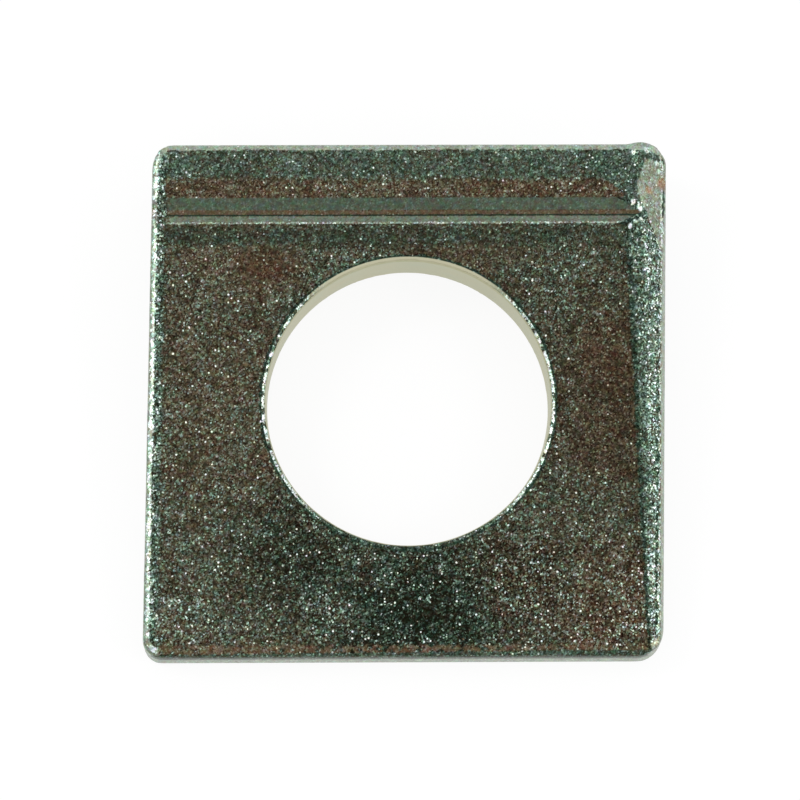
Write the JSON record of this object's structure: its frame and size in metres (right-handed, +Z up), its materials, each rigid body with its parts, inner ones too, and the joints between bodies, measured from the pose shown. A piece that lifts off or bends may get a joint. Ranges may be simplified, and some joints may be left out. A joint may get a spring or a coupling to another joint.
{
  "type": "square beveled washer",
  "caption": "Square taper washer with a round bolt hole and a marking groove, to level a nut or bolt head on a sloping steel flange.",
  "frame": {"origin": "centre of the plain face, midway between the two cuts and between the thin and the thick edge", "axes": "+Z up out of the plain face it lies on; +Y from the thin edge to the thick edge, up the slope; X along the rolled bar, +X to the cut whose upper edge is rolled over"},
  "size_m": [0.0406, 0.0394, 0.0086],
  "materials": {
    "zinc_plated_steel": "electroplated zinc over hot rolled and sheared steel, grainy and bright, smooth in the bore and the groove"
  },
  "bodies": {
    "root": {"washer": "zinc_plated_steel"}
  },
  "joints": []
}
